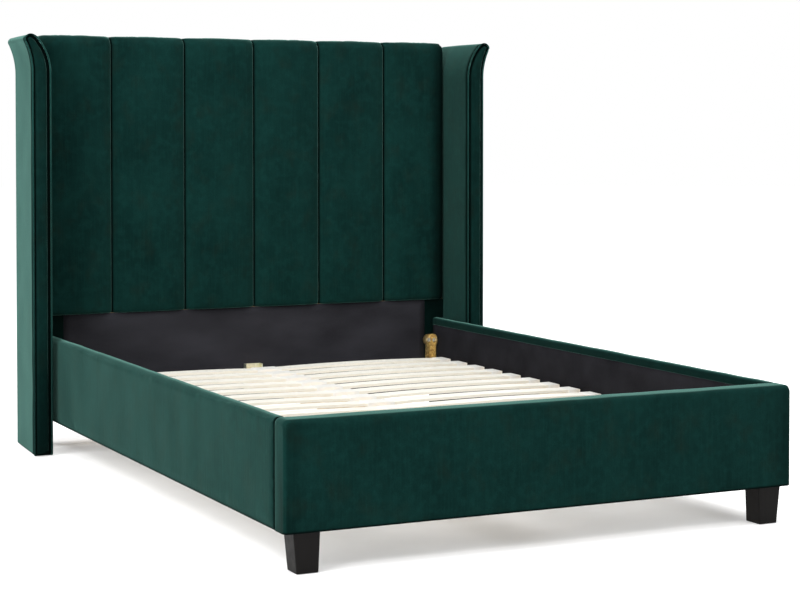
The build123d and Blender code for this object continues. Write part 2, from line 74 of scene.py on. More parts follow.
MM = 0.001
SIDES = {1: "right", -1: "left"}  # sign of X on each side of the bed
HELD = "held"  # vertex group of the points that the swelling cloth can't move
SHADE_ATTRIBUTE = "painted_shade"  # attribute of the cloth with its painted shade: 1 where it is fully in painted shade, 0 where none is painted
GRADE_BOUNDS = (0.25, 0.7)  # painted shade above which a face takes the half-sheen grade, and the low-sheen grade
FREE_REACH = 25 * MM  # distance from a seam or hem at which a pad's cloth is fully free
TOP_REACH = 12 * MM  # the same above the linings' top edge
SWELL_FRAMES = 20
SWELL_PRESSURE = 4
SWELL_EASE = 0.012  # how much longer the cloth was cut than its shape
SHARP_ANGLE = math.radians(50)  # faces that meet at more than this keep a sharp edge
LINING_WAVE = 0.5 * MM  # height of the slack waves in a lining
SLAT_WIDTH = 63 * MM
SLATS_IN_ROW = 15
FLARE_STEPS = 14
CREST_STEPS = 12
SHOULDER_SHARES = (0, 0.25, 0.5, 0.75, 1)

# The photograph's camera, halfway between two fits to its straight edges
CAMERA_PLACE = (-2.4796, -5.3185, 1.0628)
CAMERA_PITCH = 1.6  # degrees below level
CAMERA_YAW = -25.863
CAMERA_SENSOR = 36
CAMERA_LENS = 87.51
CAMERA_SHIFT = -0.152

AMBIENT_LIGHT = 0.42
LAMPS = (  # name, place, target, size and power
    ("window", (-5.5, -2.5, 3.2), (0, 0, 0.5), 4.0, 420),
    ("overhead", (0.5, -0.5, 5.0), (0, 0, 0), 4.5, 200),
    ("fill", (2.5, -6.5, 2.5), (0, 0, 0.6), 3.0, 90),
)

# Faces of the frame that the upholstery follows
HEAD_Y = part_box("headboard_lower_lining")[0].y
REAR_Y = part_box("headboard_rear_lining")[1].y
BOARD_LOW, BOARD_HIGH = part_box("headboard_board")
BOARD_Y, CHANNEL_FOOT = BOARD_LOW.y, BOARD_LOW.z
BOARD_TOP, PANEL_HALF = BOARD_HIGH.z, BOARD_HIGH.x
HEADBOARD_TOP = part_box("headboard_channel_1")[1].z
BAND_LOW, BAND_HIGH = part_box("wing_front_band_right")
WING_FRONT_Y = BAND_LOW.y
WING_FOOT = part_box("wing_cover_right")[0].z
RAIL_LOW, RAIL_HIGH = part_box("side_rail_cover_right")
FOOT_LOW, FOOT_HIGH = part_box("footboard_cover")
LINING_LOW, LINING_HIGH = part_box("side_rail_lining_right")
LINING_TOP, LINING_DEPTH = LINING_HIGH.z, LINING_HIGH.x - LINING_LOW.x
CHANNELS = sorted(name for name in frame["nodes"] if name.startswith("headboard_channel"))


def linear(hex_code):
    """Linear colour of an sRGB hex code."""
    values = [int(hex_code[i:i + 2], 16) / 255 for i in (1, 3, 5)]
    return tuple(v / 12.92 if v <= 0.04045 else ((v + 0.055) / 1.055) ** 2.4 for v in values)


def length(name, description, millimetres):
    """A size that the user may change, with its default in millimetres."""
    return FloatProperty(
        name=name, description=description, default=millimetres * MM, unit="LENGTH", precision=4
    )


def colour(name, description, default):
    """A colour that the user may change."""
    return FloatVectorProperty(
        name=name, description=description, default=linear(default), subtype="COLOR", size=3, min=0, max=1
    )


class BedSizes(bpy.types.PropertyGroup):
    """Sizes of the upholstery."""

    channel_crown: length("Channel crown", "How far a channel's middle stands proud of its seams", 18)
    channel_top_round: length("Channel top round", "Roll of a channel over the headboard's top edge", 32)
    channel_foot_round: length("Channel foot round", "Roll of a channel under its foot", 12)
    channel_end_round: length("Channel end round", "Rounding of the headboard's outer top corners", 16)
    channel_arch: length("Channel arch", "Rise of a channel's top between its seams", 2)
    seam_tuck: length("Seam tuck", "How far the cloth is drawn in at a channel's seam", 12)
    seam_width: length("Seam width", "Reach of the tuck on each side of a channel's seam", 8)
    # painted shade: reach of the dark on each side of a channel seam
    seam_shade_reach: length("Seam shade", "How far from a channel's seam the pile is crushed", 5.5)
    # painted shadow: reach of the right wing's shadow over the headboard's right end
    end_shadow_reach: length("End shadow", "How far from the headboard's right end the pile was pushed flat", 85)
    # also the height of the painted shade along a hem
    hem_height: length("Hem height", "Height of the crushed pile along a hem", 8)
    corner_tuck: length("Corner tuck", "How far the cloth is drawn in at the footboard's corner seams", 5)
    # painted shade: reach of the dark beside a rail's corner seam
    corner_shade_reach: length("Corner shade", "How far from the corner seams a rail's pile is crushed", 15)
    # painted shade: how dark a wing's front gets towards the floor, and up to what height
    floor_shade: FloatProperty(
        name="Floor shade", description="How flat the pile of a wing's front is at its foot",
        default=0.6, min=0, max=1,
    )
    floor_shade_height: length("Floor shade height", "Height up to which that pile is worn", 480)
    # how far from a wing's crest the piping is darkened
    crest_darkening_reach: length("Crest darkening", "How far from a wing's crest the piping's pile is crushed", 26)
    # painted shade: reach of the dark beside the piping's groove, mostly on a wing's inner side
    wing_edge_shade_reach: length("Wing edge shade", "How far from the piping a wing's pile is crushed on its inner side", 24)
    border_seam: length("Border seam", "Distance of a wing's outer seam from its front edge", 17)
    border_width: length("Border seam width", "Reach of that seam's groove on each side", 9)
    border_tuck: length("Border seam tuck", "Depth of that seam's groove", 2.5)
    wing_splay: length("Wing splay", "How far a wing's front leans outward", 11)
    wing_thickness: length("Wing thickness", "Thickness of a wing at its front", 59)
    wing_rear_thickness: length("Wing rear thickness", "Thickness of a wing at the wall", 51)
    wing_inner_top: length("Wing inner top", "Height of a wing's crest on its inner side", 1355)
    wing_outer_drop: length("Wing outer drop", "How much lower the crest is on the outer side", 7)
    flare_height: length("Flare height", "Height over which a wing's top flares outward", 115)
    flare_inner: length("Inner flare", "How far the inner side flares", 46)
    flare_outer: length("Outer flare", "How far the outer side flares", 27)
    wing_top_round: length("Wing top round", "Rounding of the crest's outer shoulder", 8)
    wing_foot_round: length("Wing foot round", "Rounding of a wing's lower corners", 6)
    piping_radius: length("Piping radius", "Radius of the piping round a wing's front band", 2.5)
    piping_proud: length("Piping proud", "How far the piping stands out past the wing's sides", 2)
    band_inner_groove: length("Band inner groove", "Room for the piping on the band's inner side", 13)
    band_outer_groove: length("Band outer groove", "Room for the piping on the band's outer side", 9)
    band_roll: length("Band roll", "Rounding of the front band beside its grooves", 7)
    band_hem: length("Band hem", "Height of the seam across the front band's foot", 13)
    rail_outer_round: length("Rail outer round", "Roll of the outer top edges", 14)
    rail_inner_round: length("Rail inner round", "Roll of the inner top edges", 7)
    foot_corner_round: length("Footboard corner", "Rounding of the footboard's front corners", 12)
    swell_cap: length("Swelling", "The most that the cloth of a pad moves as it swells", 2)
    cloth_step: length("Cloth step", "Spacing of the points on padded cloth", 11)


class BedColours(bpy.types.PropertyGroup):
    """Colours of the finishes."""

    velvet: colour("Velvet", "Base of the velvet's pile", "#0a2623")
    velvet_brushed: colour("Brushed velvet", "Velvet where its pile was brushed towards the eye", "#1a2119")
    velvet_sheen: colour("Velvet sheen", "Light that the pile's tips scatter", "#8ec7ba")
    lining: colour("Lining", "Woven lining inside the frame", "#26262a")
    birch: colour("Birch", "Bentwood slats", "#f4f1e7")
    pine: colour("Pine", "Timber of the frame", "#d8b88a")
    particle_board: colour("Board", "Engineered board inside the upholstery", "#b99a6d")
    leg_lacquer: colour("Leg lacquer", "Lacquer on the front legs", "#0c0a09")
    white_plastic: colour("White plastic", "Slat caps and clips", "#f0efea")
    yellow_zinc: colour("Yellow zinc", "Plating of the corner brackets", "#f4e2a8")
    zinc: colour("Zinc", "Plating of bolts and screws", "#dcdcd8")
    clear_zinc: colour("Clear zinc", "Plating of the beam's hangers", "#e4e6cf")


# Node and material helpers


def add_node(tree, kind, inputs=None, **settings):
    """Add a shader node; inputs maps a socket to a value or to the output that feeds it."""
    made = tree.nodes.new(kind)
    for name, value in settings.items():
        setattr(made, name, value)
    for socket, value in (inputs or {}).items():
        if isinstance(value, bpy.types.NodeSocket):
            tree.links.new(value, made.inputs[socket])
        else:
            made.inputs[socket].default_value = value
    return made


def calculate(tree, operation, *values):
    """Output of a maths node on the values."""
    return add_node(tree, "ShaderNodeMath", dict(enumerate(values)), operation=operation).outputs[0]


def start_material(name):
    """A new material with its node tree cleared, and the point on the object that patterns read."""
    material = bpy.data.materials.new(name)
    material.use_nodes = True
    tree = material.node_tree
    tree.nodes.clear()
    place = add_node(tree, "ShaderNodeTexCoord").outputs["Object"]
    return material, tree, place


def finish_material(material, tree, tint, roughness, normal, others=None):
    """Close a material with one principled shader; others maps more of its sockets to their values."""
    inputs = {"Base Color": tint, "Roughness": roughness, "Normal": normal, **(others or {})}
    shader = add_node(tree, "ShaderNodeBsdfPrincipled", inputs)
    add_node(tree, "ShaderNodeOutputMaterial", {"Surface": shader.outputs[0]})
    return material


def spots(tree, place, size, detail=3.0, stretch=(1, 1, 1)):
    """Noise whose spots measure size, drawn out by stretch along each axis."""
    scale = tuple(1 / (size * s) for s in stretch)
    mapped = add_node(tree, "ShaderNodeMapping", {"Vector": place, "Scale": scale}).outputs[0]
    return add_node(tree, "ShaderNodeTexNoise", {"Vector": mapped, "Scale": 1.0, "Detail": detail}).outputs[0]


def blend(tree, factor, first, second, low=0.3, high=0.7):
    """Colour that runs from first to second as factor goes from low to high."""
    amount = add_node(tree, "ShaderNodeMapRange", {"Value": factor, "From Min": low, "From Max": high})
    mixed = add_node(tree, "ShaderNodeMix", {0: amount.outputs[0]}, data_type="RGBA")
    for index, value in ((6, first), (7, second)):
        if isinstance(value, bpy.types.NodeSocket):
            tree.links.new(value, mixed.inputs[index])
        else:
            mixed.inputs[index].default_value = (*value, 1)
    return mixed.outputs[2]


def ramp_value(tree, factor, low, high):
    """Number that runs from low to high with factor."""
    inputs = {"Value": factor, "From Min": 0.3, "From Max": 0.7, "To Min": low, "To Max": high}
    return add_node(tree, "ShaderNodeMapRange", inputs).outputs[0]


def bump(tree, height, distance, strength, below=None):
    """Surface normal from a height pattern, distance deep, laid over the one below it."""
    inputs = {"Height": height, "Distance": distance, "Strength": strength}
    if below is not None:
        inputs["Normal"] = below
    return add_node(tree, "ShaderNodeBump", inputs).outputs[0]


def shade(base, factor):
    """A colour made lighter or darker."""
    return tuple(min(1.0, c * factor) for c in base)


# Materials


def velvet(colours, name, tone, pile, sheen_roughness=0.3):
    """Short-pile velvet: dark where the eye looks into the pile, pale where it looks across the tips.
    The pile lies in soft upright strokes, with broad patches where it was brushed another way,
    and painted shade darkens it wherever the cloth's shade attribute is set."""
    material, tree, place = start_material(name)
    base = shade(colours.velvet, tone)
    patches = spots(tree, place, 140 * MM, 4.0, (1, 1, 1.3))
    clouds = spots(tree, place, 22 * MM, 4.0)
    brushed = spots(tree, place, 60 * MM, 5.0, (1, 1, 1.3))
    strokes = spots(tree, place, 5 * MM, 3.0, (1, 1, 24))
    tips = spots(tree, place, 2.2 * MM, 2.0)
    # painted shade: the cloth's shade attribute darkens the base towards near black
    crushed = add_node(tree, "ShaderNodeAttribute", attribute_name=SHADE_ATTRIBUTE).outputs["Fac"]
    tint = blend(tree, patches, shade(base, 0.75), shade(base, 1.25))
    for factor, other, low, high in (
        (clouds, shade(base, 1.9), 0.45, 1.1),
        (brushed, shade(colours.velvet_brushed, tone), 0.52, 1.15),
        (strokes, shade(base, 1.6), 0.45, 1.2),
        (tips, shade(base, 0.5), 0.4, 1.2),
        (crushed, shade(base, 0.15), 0, 1),
    ):
        tint = blend(tree, factor, tint, other, low, high)
    normal = bump(tree, tips, 0.35 * MM, 0.5, bump(tree, strokes, 0.5 * MM, 0.4))
    return finish_material(material, tree, tint, 0.9, normal, {
        "Specular IOR Level": 0.02, "Sheen Weight": pile, "Sheen Roughness": sheen_roughness,
        "Sheen Tint": (*colours.velvet_sheen, 1),
    })


def velvet_grades(colours, name, tone=1.0, sheen_roughness=0.3):
    """One velvet in three grades for faces in painted shade: full sheen, half sheen, and little sheen.
    The deeper a face's painted shade, the less light its tips scatter."""
    grades = ((name, 0.95), (f"{name}, half in painted shade", 0.52), (f"{name}, deep in painted shade", 0.08))
    return [velvet(colours, grade, tone, pile, sheen_roughness) for grade, pile in grades]


def woven_lining(colours, name, tone=1.0):
    """Plain-woven black lining: matt, with crossed threads, rubbed paler in patches and dusted with lint."""
    material, tree, place = start_material(name)
    base = shade(colours.lining, tone)
    warp = spots(tree, place, 1.2 * MM, 2.0, (1, 1, 9))
    weft = spots(tree, place, 1.2 * MM, 2.0, (9, 9, 1))
    rubbed = spots(tree, place, 90 * MM, 5.0, (2.5, 1, 1))
    lint = spots(tree, place, 3 * MM, 3.0)
    tint = blend(tree, rubbed, shade(base, 0.75), shade(base, 1.4))
    tint = blend(tree, lint, tint, shade(base, 1.8), 0.5, 1.1)
    normal = bump(tree, calculate(tree, "ADD", warp, weft), 0.3 * MM, 0.4)
    return finish_material(material, tree, tint, 0.85, normal, {"Specular IOR Level": 0.05})


def wood(name, base, grain_axis, roughness=(0.51, 0.72), ring=14 * MM, contrast=0.8, over=None):
    """Planed timber: growth rings drawn out along the grain, fine pores, and a colour that drifts.
    roughness runs between two values, and over lays more detail on the colour."""
    material, tree, place = start_material(name)
    stretch = [1, 1, 1]
    stretch[grain_axis] = 25
    rings = spots(tree, place, ring, 4.0, stretch)
    pores = spots(tree, place, 1.5 * MM, 2.0, stretch)
    drift = spots(tree, place, 300 * MM, 2.0)
    tint = blend(tree, rings, shade(base, contrast), base, 0.35, 0.6)
    tint = blend(tree, drift, tint, shade(base, 1.08), 0.3, 0.9)
    tint = blend(tree, pores, tint, shade(base, contrast * 0.8), 0.55, 1.1)
    if over:
        tint = over(tree, place, base, tint)
    rough = ramp_value(tree, pores, *roughness)
    return finish_material(material, tree, tint, rough, bump(tree, pores, 0.2 * MM, 0.4))


def glue_lines(tree, place, base, tint):
    """Thin glue lines over the tint, along the long edges of each slat."""
    low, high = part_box("slats_right")
    half = SLAT_WIDTH / 2
    pitch = (high.y - low.y - SLAT_WIDTH) / (SLATS_IN_ROW - 1)
    first = low.y - pitch / 2 + half
    along = add_node(tree, "ShaderNodeSeparateXYZ", {"Vector": place}).outputs
    within = calculate(tree, "WRAP", along["Y"], first + pitch, first)
    off_middle = calculate(tree, "ABSOLUTE", calculate(tree, "ADD", within, -(low.y + half)))
    plies = calculate(tree, "PINGPONG", along["Z"], 1.4 * MM)
    glue = blend(tree, plies, linear("#dcc8a0"), shade(base, 0.98), 0.1 * MM, 0.5 * MM)
    return blend(tree, off_middle, tint, glue, half - 0.9 * MM, half - 0.3 * MM)


def bentwood(colours):
    """Lacquered birch slats: pale faces with a fine grain, and thin glue lines along their long edges."""
    return wood("lacquered birch bentwood", colours.birch, 0, (0.36, 0.5), 10 * MM, 0.9, glue_lines)


def particle_board(colours):
    """Pressed board: flat chips of many sizes with a dry, matt face."""
    material, tree, place = start_material("particle board")
    base = colours.particle_board
    chips = add_node(tree, "ShaderNodeTexVoronoi", {"Vector": place, "Scale": 1 / (6 * MM)})
    dust = spots(tree, place, 2 * MM)
    tint = blend(tree, chips.outputs["Distance"], base, shade(base, 0.72), 0.2, 0.9)
    tint = blend(tree, dust, tint, shade(base, 1.25), 0.5, 1.0)
    return finish_material(material, tree, tint, 0.9, bump(tree, dust, 0.3 * MM, 0.5))


def moulded_plastic(name, base, roughness):
    """Moulded plastic: an even colour with a fine spark-eroded texture from its mould."""
    material, tree, place = start_material(name)
    texture = spots(tree, place, 1.2 * MM, 2.0)
    tint = blend(tree, spots(tree, place, 30 * MM, 2.0), shade(base, 0.95), base)
    rough = ramp_value(tree, texture, roughness * 0.85, roughness * 1.15)
    return finish_material(material, tree, tint, rough, bump(tree, texture, 0.1 * MM, 0.4))


def leg_lacquer(colours):
    """Black-brown lacquer on hardwood: a satin film with the grain faintly telegraphing through."""
    material, tree, place = start_material("black-brown lacquer")
    grain = spots(tree, place, 3 * MM, 3.0, (1, 1, 22))
    tint = blend(tree, grain, shade(colours.leg_lacquer, 0.75), shade(colours.leg_lacquer, 1.3))
    rough = ramp_value(tree, spots(tree, place, 25 * MM, 4.0), 0.34, 0.5)
    normal = bump(tree, grain, 0.15 * MM, 0.5)
    return finish_material(material, tree, tint, rough, normal, {"Specular IOR Level": 0.13})


def plated_steel(name, base, roughness, second=None):
    """Zinc-plated pressed steel: a soft metal shine, clouded by the passivation bath."""
    material, tree, place = start_material(name)
    clouds = spots(tree, place, 6 * MM, 3.0)
    scratches = spots(tree, place, 0.8 * MM, 2.0, (1, 1, 14))
    tint = blend(tree, clouds, base, second or shade(base, 0.8), 0.35, 0.7)
    rough = ramp_value(tree, scratches, roughness * 0.8, roughness * 1.3)
    normal = bump(tree, scratches, 0.05 * MM, 0.5)
    return finish_material(material, tree, tint, rough, normal, {"Metallic": 1.0})


def speckled(name, base, pale, size, detail, depth, strength, roughness):
    """A dark material whose spots are paler and stand up by depth."""
    material, tree, place = start_material(name)
    pattern = spots(tree, place, size, detail)
    tint = blend(tree, pattern, base, shade(base, pale))
    return finish_material(material, tree, tint, roughness, bump(tree, pattern, depth, strength))


def powder_coat():
    """Black powder coat on steel tube: satin, with a fine orange peel."""
    return speckled("black powder coat", linear("#17181a"), 1.3, 2.5 * MM, 2.0, 0.25 * MM, 0.5, 0.5)


def nonwoven_backing():
    """Spun black backing cloth on the wall side: fuzzy, with short fibres lying every way."""
    return speckled("non-woven backing", linear("#1d1e20"), 2.0, 4 * MM, 6.0, 0.5 * MM, 0.6, 1.0)


# Outlines of the upholstery


def arc(centre, radius, start, end, steps):
    """Points on an arc, angles in degrees, from start to end."""
    points = []
    for i in range(steps + 1):
        angle = math.radians(start + (end - start) * i / steps)
        points.append((centre[0] + radius * math.cos(angle), centre[1] + radius * math.sin(angle)))
    return points


def closed_pairs(points):
    """Each point of a closed outline with the next one."""
    return zip(points, points[1:] + points[:1])


def divisions(points, step):
    """How many pieces no longer than step each stretch of a closed outline takes."""
    return [max(1, math.ceil(math.dist(here, there) / step)) for here, there in closed_pairs(points)]


def divided(points, counts):
    """The closed outline with each stretch divided into its count of equal pieces."""
    result = []
    for (here, there), count in zip(closed_pairs(points), counts):
        for i in range(count):
            t = i / count
            result.append((here[0] + (there[0] - here[0]) * t, here[1] + (there[1] - here[1]) * t))
    return result


def stations(start, end, step, near_ends=()):
    """Places from start up to end, evenly spaced, with closer ones at these millimetres from both ends."""
    count = max(2, math.ceil((end - start) / step))
    near = [distance * MM for distance in near_ends]
    inner = [start + (end - start) * i / count for i in range(1, count)]
    clear = max(near, default=0) * 1.3
    places = [p for p in inner if min(p - start, end - p) > clear]
    for distance in (0, *near):
        places += [start + distance, end - distance]
    return sorted(set(places))


def rolled(distance, radius):
    """Profile of a rounded edge at a distance from its seam: 0 in the seam, 1 from the radius on."""
    share = min(1.0, max(0.0, distance / radius))
    return math.sqrt(1 - (1 - share) ** 2)


def corner_drop(distance, radius):
    """How far a rounded corner falls back at a distance from its end: nothing from the radius on."""
    return radius - math.sqrt(max(0, radius * radius - max(0, radius - distance) ** 2))


def eased(distance, reach):
    """Smooth step from 0 at no distance to 1 at the reach."""
    share = min(1.0, max(0.0, distance / reach))
    return share * share * (3 - 2 * share)


def hem_shade(sizes, height):
    """Painted shade along a hem at a height above it: 1 in the hem, 0 from the hem's height on."""
    return 1 - eased(height - sizes.hem_height / 4, sizes.hem_height * 3 / 4)


def shade_towards_floor(sizes, z):
    """Painted shade on a wing's front at a height: more towards the floor."""
    return sizes.floor_shade * (1 - eased(z - WING_FOOT, sizes.floor_shade_height))


def ruffle(point, size, depth, seed):
    """Small unevenness of hand-laid cloth at a point: spots of the given size, up to depth."""
    return depth * noise.noise(Vector(point) / size + Vector((seed, seed, seed)))


def highest(points):
    """Index of the highest point of an outline."""
    return max(range(len(points)), key=lambda i: points[i][1])


# Pieces


def link_object(name, data):
    """A new object in the scene that carries the data."""
    made = bpy.data.objects.new(name, data)
    bpy.context.scene.collection.objects.link(made)
    return made


def set_painted_shade(mesh, values):
    """Write down the painted shade at each point of a mesh."""
    mesh.attributes.new(SHADE_ATTRIBUTE, "FLOAT", "POINT").data.foreach_set("value", values)


def closed_shell(name, rings):
    """A closed mesh through a row of closed rings, with a flat face over each end.
    Each point comes with how free its cloth is, from 0 where it is sewn or stapled to 1,
    and with its painted shade, from 0 to 1."""
    mesh = bpy.data.meshes.new(name)
    work = bmesh.new()
    rows = [[work.verts.new(place) for place, free, pressed in ring] for ring in rings]
    for near, far in zip(rows, rows[1:]):
        for i, corner in enumerate(near):
            j = (i + 1) % len(near)
            work.faces.new((corner, near[j], far[j], far[i]))
    work.faces.new(reversed(rows[0]))
    work.faces.new(rows[-1])
    bmesh.ops.recalc_face_normals(work, faces=work.faces)
    work.to_mesh(mesh)
    work.free()
    piece = link_object(name, mesh)
    mesh.shade_smooth()
    held = piece.vertex_groups.new(name=HELD)
    points = [point for ring in rings for point in ring]
    for index, (place, free, pressed) in enumerate(points):
        held.add([index], 1 - free, "REPLACE")
    set_painted_shade(mesh, [pressed for place, free, pressed in points])
    return piece


def round_edges(piece):
    """Smooth shading, with the sharp edges kept."""
    bpy.ops.object.select_all(action="DESELECT")
    piece.select_set(True)
    bpy.context.view_layer.objects.active = piece
    bpy.ops.object.shade_smooth_by_angle(angle=SHARP_ANGLE)


def finish_piece(piece, materials, replaced, fill=None):
    """Give a made piece its materials, and each face the velvet grade of its painted shade where there are
    grades, and hide the parts that it replaces. fill is a pad's filling."""
    piece.data.materials.clear()
    for material in materials:
        piece.data.materials.append(material)
    # faces in deeper painted shade take the velvet grades with less sheen
    if len(materials) > 1:
        painted_shade = [point.value for point in piece.data.attributes[SHADE_ATTRIBUTE].data]
        for face in piece.data.polygons:
            pressed = sum(painted_shade[i] for i in face.vertices) / len(face.vertices)
            face.material_index = sum(pressed > bound for bound in GRADE_BOUNDS)
    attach(piece, "root")
    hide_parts(*replaced)
    if fill is not None:
        round_edges(piece)


def swell(pieces, cap):
    """Let the cloth of pads press out over their filling, held where it is sewn, stapled or hidden.
    cap is the most that it moves, only outward."""
    scene = bpy.context.scene
    for piece in pieces:
        cloth = piece.modifiers.new("swelling", "CLOTH")
        cloth.settings.vertex_group_mass = HELD
        cloth.settings.use_pressure = True
        cloth.settings.uniform_pressure_force = SWELL_PRESSURE
        cloth.settings.effector_weights.gravity = 0
        cloth.settings.shrink_min = -SWELL_EASE
        cloth.point_cache.frame_end = SWELL_FRAMES
    for step in range(SWELL_FRAMES):
        scene.frame_set(step + 1)
    graph = bpy.context.evaluated_depsgraph_get()
    ends = [[vertex.co.copy() for vertex in piece.evaluated_get(graph).data.vertices] for piece in pieces]
    scene.frame_set(1)
    for piece, places in zip(pieces, ends):
        piece.modifiers.remove(piece.modifiers["swelling"])
        normals = [vertex.normal.copy() for vertex in piece.data.vertices]
        for vertex, place, normal in zip(piece.data.vertices, places, normals):
            out = max(0.0, (place - vertex.co).dot(normal)) * (1 - vertex.groups[0].weight)
            vertex.co += normal * cap * math.tanh(out / cap)


# Headboard


def channel_section(sizes, depth, top):
    """Closed side outline of a channel in Y and Z, with its face standing depth proud of the seams."""
    face_y = HEAD_Y - depth
    roll, foot = sizes.channel_top_round, sizes.channel_foot_round
    outline = [(BOARD_Y, CHANNEL_FOOT)]
    outline += arc((face_y + foot, CHANNEL_FOOT + foot), foot, 270, 180, 5)
    outline += arc((face_y + roll, top - roll), roll, 180, 90, 9)
    outline += [(REAR_Y - 3 * MM, top), (REAR_Y, top - 3 * MM), (REAR_Y, BOARD_TOP), (BOARD_Y, BOARD_TOP)]
    return outline


def pucker(across, below, size, depth, turn):
    """Creases that fan out from a sewn corner: across and below are the distances from it."""
    reach = math.hypot(across, below)
    fan = math.cos(4 * math.atan2(below, across) + turn + reach / size)
    return depth * fan * math.exp(-(reach / size) ** 2) * eased(across, 3 * MM)


def channel_pad(sizes, node, seed):
    """One padded channel between two sewn seams, with its cloth tucked in along them."""
    low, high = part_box(node)
    counts = divisions(channel_section(sizes, 0, HEADBOARD_TOP), sizes.cloth_step)
    rings = []
    for x in stations(low.x, high.x, sizes.cloth_step, (0.8, 2, 3.5, 5.5, 8)):
        share = (x - low.x) / (high.x - low.x)
        off_middle = abs(2 * share - 1)
        to_seam = min(x - low.x, high.x - x)
        fullness = 1 - off_middle ** 5
        tuck = 1 - rolled(to_seam, sizes.seam_width)
        depth = sizes.channel_crown * fullness - sizes.seam_tuck * tuck
        top = HEADBOARD_TOP - sizes.channel_arch * off_middle ** 9 - sizes.seam_tuck / 2 * tuck
        top -= corner_drop(PANEL_HALF - abs(x), sizes.channel_end_round)
        # painted shade in each seam, and a painted shadow from the right wing towards the headboard's right
        # end
        pushed = 0.8 * (1 - eased(PANEL_HALF - x, sizes.end_shadow_reach))
        pressed = max(1 - eased(to_seam, sizes.seam_shade_reach), pushed)
        ring = []
        for y, z in divided(channel_section(sizes, depth, top), counts):
            free = 0.0
            if y < BOARD_Y - 10 * MM and z > CHANNEL_FOOT + 4 * MM:
                free = eased(to_seam, 20 * MM) * eased(z - CHANNEL_FOOT, 20 * MM)
                y += ruffle((x, y, z), 90 * MM, 1.6 * MM, seed) * fullness
                y += pucker(to_seam, HEADBOARD_TOP - 6 * MM - z, 20 * MM, 3.5 * MM, seed * 2.1 + share)
            ring.append(((x, y, z), free, pressed))
        rings.append(ring)
    return closed_shell(f"{node}_velvet", rings)


# Wings


def wing_inner_x(sizes, y):
    """Inner face of the right wing: straight beside the headboard, splayed in front of it."""
    return PANEL_HALF + sizes.wing_splay * max(0, HEAD_Y - y) / (HEAD_Y - WING_FRONT_Y)


def wing_outer_x(sizes, y):
    """Outer face of the right wing, in line from the rear edge to the front."""
    rear_x = PANEL_HALF + sizes.wing_rear_thickness
    front_x = PANEL_HALF + sizes.wing_splay + sizes.wing_thickness
    return rear_x + (front_x - rear_x) * (REAR_Y - y) / (REAR_Y - WING_FRONT_Y)


def flare(start, reach, rise):
    """Points of an arc that leaves the vertical at start and ends reach outward and rise higher."""
    radius = (reach ** 2 + rise ** 2) / (2 * reach)
    points = []
    for i in range(FLARE_STEPS + 1):
        z = rise * math.sin(math.pi / 2 * i / FLARE_STEPS)
        points.append((start[0] + radius - math.sqrt(radius ** 2 - z ** 2), start[1] + z))
    return points


def wing_outline(sizes, y):
    """Closed outline of the right wing at y: up its inner side, over the crest and down its outer side.
    It has the same count of points everywhere, so the shoulder's last point repeats as needed."""
    base = sizes.wing_inner_top - sizes.flare_height
    inner = flare((wing_inner_x(sizes, y), base), sizes.flare_inner, sizes.flare_height)
    rise = sizes.flare_height - sizes.wing_outer_drop
    outer = flare((wing_outer_x(sizes, y), base), sizes.flare_outer, rise)
    start, end = Vector(inner[-1]), Vector(outer[-1])
    lean = 2 * math.atan2(sizes.flare_inner, sizes.flare_height)
    slope = math.pi / 2 - lean + math.atan2(sizes.wing_outer_drop, end.x - start.x)
    height = (end - start).length / 2 * math.tan(slope / 2)
    up = Vector((start.y - end.y, end.x - start.x)).normalized()
    crest = []
    for i in range(1, CREST_STEPS):
        t = i / CREST_STEPS
        crest.append(start.lerp(end, t) + up * height * 4 * t * (1 - t))
    reach, foot = sizes.wing_top_round, sizes.wing_foot_round
    last_crest = [point for point in crest if (point - end).length > reach]
    last_outer = [Vector(point) for point in outer if (Vector(point) - end).length > reach]
    entry = end + (last_crest[-1] - end).normalized() * reach
    leave = end + (last_outer[-1] - end).normalized() * reach
    shoulder = [entry.lerp(end, t).lerp(end.lerp(leave, t), t) for t in SHOULDER_SHARES]
    dropped = len(crest) - len(last_crest) + len(outer) - len(last_outer)
    shoulder += [leave] * (dropped - len(SHOULDER_SHARES) + 1)
    hem = WING_FOOT + sizes.hem_height
    outline = arc((inner[0][0] + foot, WING_FOOT + foot), foot, 270, 180, 4) + [(inner[0][0], hem)] + inner
    outline += [tuple(point) for point in (*last_crest, *shoulder, *reversed(last_outer))]
    return outline + [(outer[0][0], hem)] + arc((outer[0][0] - foot, WING_FOOT + foot), foot, 0, -90, 4)


def inset_outline(points, inset):
    """The closed outline drawn inward by inset; its points run clockwise seen from the front."""
    result = []
    for i, here in enumerate(points):
        before, after = Vector(points[i - 1]), Vector(points[(i + 1) % len(points)])
        along = (after - before).normalized()
        result.append(tuple(Vector(here) + Vector((along.y, -along.x)) * inset))
    return result


def distance_to(points, place):
    """Distance from a place to the closed outline."""
    best = math.inf
    here = Vector(place)
    for start, end in closed_pairs([Vector(point) for point in points]):
        along = end - start
        if along.length_squared > 0:
            t = min(1, max(0, (here - start).dot(along) / along.length_squared))
            best = min(best, (here - start - along * t).length)
    return best


